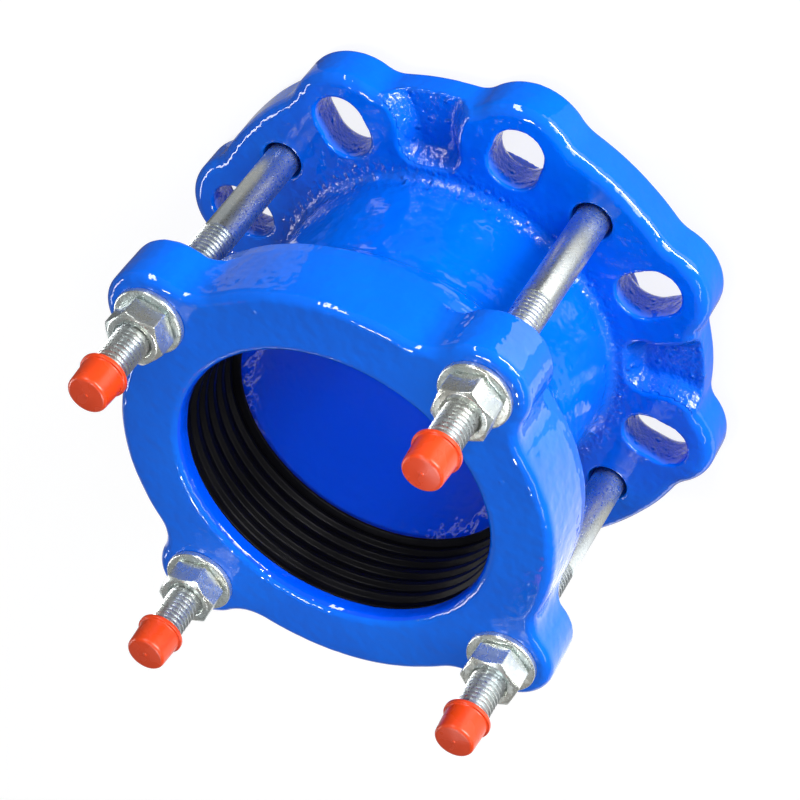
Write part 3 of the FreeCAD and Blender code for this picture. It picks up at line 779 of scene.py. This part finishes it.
def fasteners():
    cell = detail(0.42, 0.6)
    half = NUT_FLATS / 2 + 2
    nut, nut_faces, nut_normals = surface_net(
        nut_distance, nut_distance, (-half, -half, 0), (half, half, NUT_TOP - NUT_SEAT), cell)
    head, head_faces, head_normals = surface_net(
        head_distance, head_distance, (-half, -half, HEAD_FOOT), (half, half, HEAD_SEAT), 2 * cell)
    nut = nut + (0, 0, NUT_SEAT)
    rod, rod_faces = bolt_rod()
    ring = [(WASHER_HOLE, GLAND_FACE), (WASHER, GLAND_FACE), (WASHER, NUT_SEAT), (WASHER_HOLE, NUT_SEAT)]
    washer, washer_faces = lathe(rounded(ring, (0.1, 0.25, 0.7, 0.3)), 96)
    for k in BOLTS:
        piece = make_object(f"bolt_{k}_fine", at_bolt(k, rod), rod_faces, ZINC_SHANK, sharp=40)
        finish_piece(piece, "body", f"bolt_{k}")
        piece = make_object(f"bolt_{k}_head", at_bolt(k, head), head_faces, ZINC,
                            turned(head_normals, bolt_turn(k)))
        finish_piece(piece, "body", f"bolt_{k}")
        spin = math.radians(NUT_TURNS[k - 1])
        piece = make_object(f"nut_{k}_fine", at_bolt(k, nut, spin), nut_faces, ZINC,
                            turned(nut_normals, bolt_turn(k) + spin))
        finish_piece(piece, f"nut_{k}", f"nut_{k}")
        piece = make_object(f"washer_{k}_fine", at_bolt(k, washer), washer_faces, ZINC, sharp=40)
        finish_piece(piece, "gland", f"washer_{k}")


def caps():
    """Push-on thread caps: a rim, a tapered body and a small gate pip on the end."""
    inner, rim, body, end = 6.0, 8.0, 7.2, 6.7
    rim_height, pip_height, pip_foot, pip_tip = 1.5, 0.2, 0.7, 0.45
    for k in BOLTS:
        low, high = heights(f"cap_{k}")
        flat, ceiling = high - pip_height, high - 1.3
        points = [(inner, low), (rim, low), (rim, low + rim_height), (body, low + rim_height),
                  (end, flat), (pip_foot, flat), (pip_tip, high), (AXIS, high), (AXIS, ceiling),
                  (inner, ceiling)]
        radii = (0.2, 0.5, 0.5, 0.5, 1.2, 0.2, 0.15, 0, 0, 0.3)
        p, quads = lathe(rounded(points, radii), 72)
        piece = make_object(f"cap_{k}_fine", at_bolt(k, p), quads, ORANGE, sharp=45)
        finish_piece(piece, f"cap_{k}", f"cap_{k}")


castings()
gasket()
fasteners()
caps()


# Studio
def seen_rays(tree):
    """1 for rays that show a background: from the camera, off gloss or through glass."""
    path = tree.nodes.new("ShaderNodeLightPath")
    total = None
    for name in ("Is Camera Ray", "Is Glossy Ray", "Is Transmission Ray"):
        if total is None:
            total = path.outputs[name]
            continue
        most = tree.nodes.new("ShaderNodeMath")
        most.operation = "MAXIMUM"
        tree.links.new(total, most.inputs[0])
        tree.links.new(path.outputs[name], most.inputs[1])
        total = most.outputs["Value"]
    return total


def studio_world(fill):
    world = bpy.data.worlds.new("studio")
    bpy.context.scene.world = world
    world.use_nodes = True
    tree = world.node_tree
    tree.nodes.clear()
    out = tree.nodes.new("ShaderNodeOutputWorld")
    light, white, mix = (tree.nodes.new(kind) for kind in
                         ("ShaderNodeBackground", "ShaderNodeBackground", "ShaderNodeMixShader"))
    light.inputs["Color"].default_value = (0.96, 0.98, 1.0, 1)
    light.inputs["Strength"].default_value = fill
    white.inputs["Color"].default_value = (1, 1, 1, 1)
    white.inputs["Strength"].default_value = 1.0
    tree.links.new(seen_rays(tree), mix.inputs["Fac"])
    tree.links.new(light.outputs[0], mix.inputs[1])
    tree.links.new(white.outputs[0], mix.inputs[2])
    tree.links.new(mix.outputs[0], out.inputs["Surface"])


def pale_floor():
    """White to the camera and to gloss, except under the bore, where the object closes it in: there the
    floor's glow is left out, a painted shadow.
    """
    material = bpy.data.materials.new("pale_floor")
    material.use_nodes = True
    tree = material.node_tree
    tree.nodes.clear()
    out = tree.nodes.new("ShaderNodeOutputMaterial")
    matt, faint, glow = (tree.nodes.new(kind) for kind in
                         ("ShaderNodeBsdfDiffuse", "ShaderNodeBsdfDiffuse", "ShaderNodeEmission"))
    seen, mix = tree.nodes.new("ShaderNodeAddShader"), tree.nodes.new("ShaderNodeMixShader")
    matt.inputs["Color"].default_value = (0.80, 0.80, 0.80, 1)
    faint.inputs["Color"].default_value = (0.26, 0.26, 0.26, 1)
    place = tree.nodes.new("ShaderNodeTexCoord")
    reach = tree.nodes.new("ShaderNodeVectorMath")
    reach.operation = "LENGTH"
    # Painted shadow: the glow fades out in a disc under the bore
    outside = tree.nodes.new("ShaderNodeMapRange")
    for key, number in (("From Min", BORE * MM - 0.003), ("From Max", BORE * MM), ("To Max", 0.85)):
        outside.inputs[key].default_value = number
    tree.links.new(place.outputs["Object"], reach.inputs[0])
    tree.links.new(reach.outputs["Value"], outside.inputs["Value"])
    tree.links.new(outside.outputs["Result"], glow.inputs["Strength"])
    tree.links.new(faint.outputs[0], seen.inputs[0])
    tree.links.new(glow.outputs[0], seen.inputs[1])
    tree.links.new(seen_rays(tree), mix.inputs["Fac"])
    tree.links.new(matt.outputs[0], mix.inputs[1])
    tree.links.new(seen.outputs[0], mix.inputs[2])
    tree.links.new(mix.outputs[0], out.inputs["Surface"])
    half, level = 4.0, -0.0003
    stage_mesh("floor", [(-half, -half, level), (half, -half, level), (half, half, level),
                         (-half, half, level)], [(0, 1, 2, 3)], material)


def stage_mesh(name, points, faces, material):
    """A mesh of the studio, in metres."""
    mesh = bpy.data.meshes.new(name)
    mesh.from_pydata(points, [], faces)
    mesh.materials.append(material)
    obj = bpy.data.objects.new(name, mesh)
    bpy.context.scene.collection.objects.link(obj)
    return obj


def glowing(name, level):
    material = bpy.data.materials.new(name)
    material.use_nodes = True
    tree = material.node_tree
    tree.nodes.clear()
    out, glow = tree.nodes.new("ShaderNodeOutputMaterial"), tree.nodes.new("ShaderNodeEmission")
    glow.inputs["Strength"].default_value = level
    tree.links.new(glow.outputs[0], out.inputs["Surface"])
    return material


def canopy(radius, height, level):
    """A dim canopy that stands on the floor round the studio, seen only in the object's gloss."""
    sides = 48
    turns = np.arange(sides) * 2 * math.pi / sides
    points = [(radius * math.cos(a), radius * math.sin(a), z) for z in (0.0, height) for a in turns]
    faces = [(i, (i + 1) % sides, sides + (i + 1) % sides, sides + i) for i in range(sides)]
    faces.append(tuple(range(sides, 2 * sides)))
    only_in_gloss(stage_mesh("canopy", points, faces, glowing("canopy", level)))


def card(name, inner, outer, start, stop, level):
    """A studio card lying beside the object, seen only in its gloss: black at level 0.

    Its sides lie at two distances from the axis, in millimetres, and at two angles, in degrees.
    """
    steps, height = 12, 0.5 * MM
    turns = np.radians(np.linspace(start, stop, steps + 1))
    points = [(r * MM * math.cos(a), r * MM * math.sin(a), height)
              for r in (inner, outer) for a in turns]
    faces = [(i, i + 1, i + steps + 2, i + steps + 1) for i in range(steps)]
    only_in_gloss(stage_mesh(name, points, faces, glowing(name, level)))


def only_in_gloss(obj):
    obj.visible_camera = obj.visible_diffuse = obj.visible_transmission = False
    obj.visible_shadow = obj.visible_volume_scatter = False


def hang_lamp(name, data, place, aim):
    """Put a lamp at place and turn it to aim. The camera doesn't see it."""
    lamp = bpy.data.objects.new(name, data)
    lamp.location = place
    lamp.rotation_mode = "QUATERNION"
    lamp.rotation_quaternion = (aim - place).to_track_quat("-Z", "Y")
    lamp.visible_camera = False
    bpy.context.scene.collection.objects.link(lamp)
    return lamp


def soft_box(name, place, width, height, level, in_light=True, in_gloss=True):
    """A soft box. level is what it adds to a white surface that faces it at the object."""
    data = bpy.data.lights.new(name, "AREA")
    data.shape = "RECTANGLE"
    data.size, data.size_y = width, height
    place = Vector(place)
    data.energy = level * math.pi**2 * (place - CENTRE).length_squared
    lamp = hang_lamp(name, data, place, CENTRE)
    lamp.visible_diffuse = in_light
    lamp.visible_glossy = in_gloss


def snoot(name, place, aim, half_angle, level):
    """A lamp in a tube that lights only what lies in its narrow cone, here the bore's far wall."""
    data = bpy.data.lights.new(name, "SPOT")
    place, aim = Vector(place), Vector(aim)
    data.spot_size, data.spot_blend = math.radians(2 * half_angle), 0.5
    data.shadow_soft_size = 0.03
    data.energy = level * 4 * math.pi**2 * (place - aim).length_squared
    hang_lamp(name, data, place, aim)


def camera():
    """The photograph's view: place and turn fitted to the object, with a long lens."""
    data = bpy.data.cameras.new("camera")
    data.lens, data.sensor_width = 120.26, 36.0
    data.clip_start, data.clip_end = 0.05, 20.0
    cam = bpy.data.objects.new("camera", data)
    place = (0.555836, -0.337852, 0.644672)
    right = Vector((-0.09425, -0.89933, -0.42700)).normalized()
    ahead = Vector((-0.63593, 0.38439, -0.66921)).normalized()
    down = ahead.cross(right).normalized()
    right = down.cross(ahead)
    turn = Matrix((right, -down, -ahead)).transposed()
    cam.matrix_world = Matrix.Translation(place) @ turn.to_4x4()
    bpy.context.scene.collection.objects.link(cam)
    bpy.context.scene.camera = cam


CENTRE = Vector((0, 0, 0.06))
studio_world(0.30)
pale_floor()
card("card_dark", 88, 1500, -27, 30, 0.10)
card("card_patch", 88, 178, 30, 63, 0.46)
card("card_dim_1", 178, 1500, 30, 63, 0.12)
card("card_dim_2", 88, 1500, 63, 120, 0.14)
card("card_near", 88, 132, -165, -27, 0.42)
card("card_bright_1", 132, 330, -165, -88, 1.6)
card("card_dim_3", 132, 330, -88, -64, 0.55)
card("card_bright_2", 132, 330, -64, -27, 2.4)
canopy(2.6, 3.2, 0.22)
soft_box("key", (1.26, -1.74, 0.32), 1.65, 0.42, 1.36)
soft_box("into_bore", (0.90, -0.55, 1.10), 0.9, 0.22, 0.15, in_gloss=False)
snoot("snoot", (0.45, -0.26, 0.75), (-0.045, 0.026, 0.045), 3.4, 0.42)
soft_box("above", (0.0, 0.25, 1.60), 0.22, 0.22, 0.20)
soft_box("line_1", (-0.30, 1.25, 0.75), 1.0, 0.16, 0.32, in_light=False)
soft_box("line_2", (1.25, 0.33, 0.50), 0.14, 1.0, 0.45, in_light=False)
soft_box("tall", (0.80, -1.35, 0.50), 0.35, 0.9, 0.40, in_light=False)
soft_box("line_3", (-0.35, -1.05, 1.00), 1.0, 0.10, 0.14, in_light=False)
soft_box("spark", (-0.75, 0.20, 1.35), 0.12, 0.12, 0.20, in_light=False)
camera()
bpy.context.scene.view_settings.view_transform = "Standard"
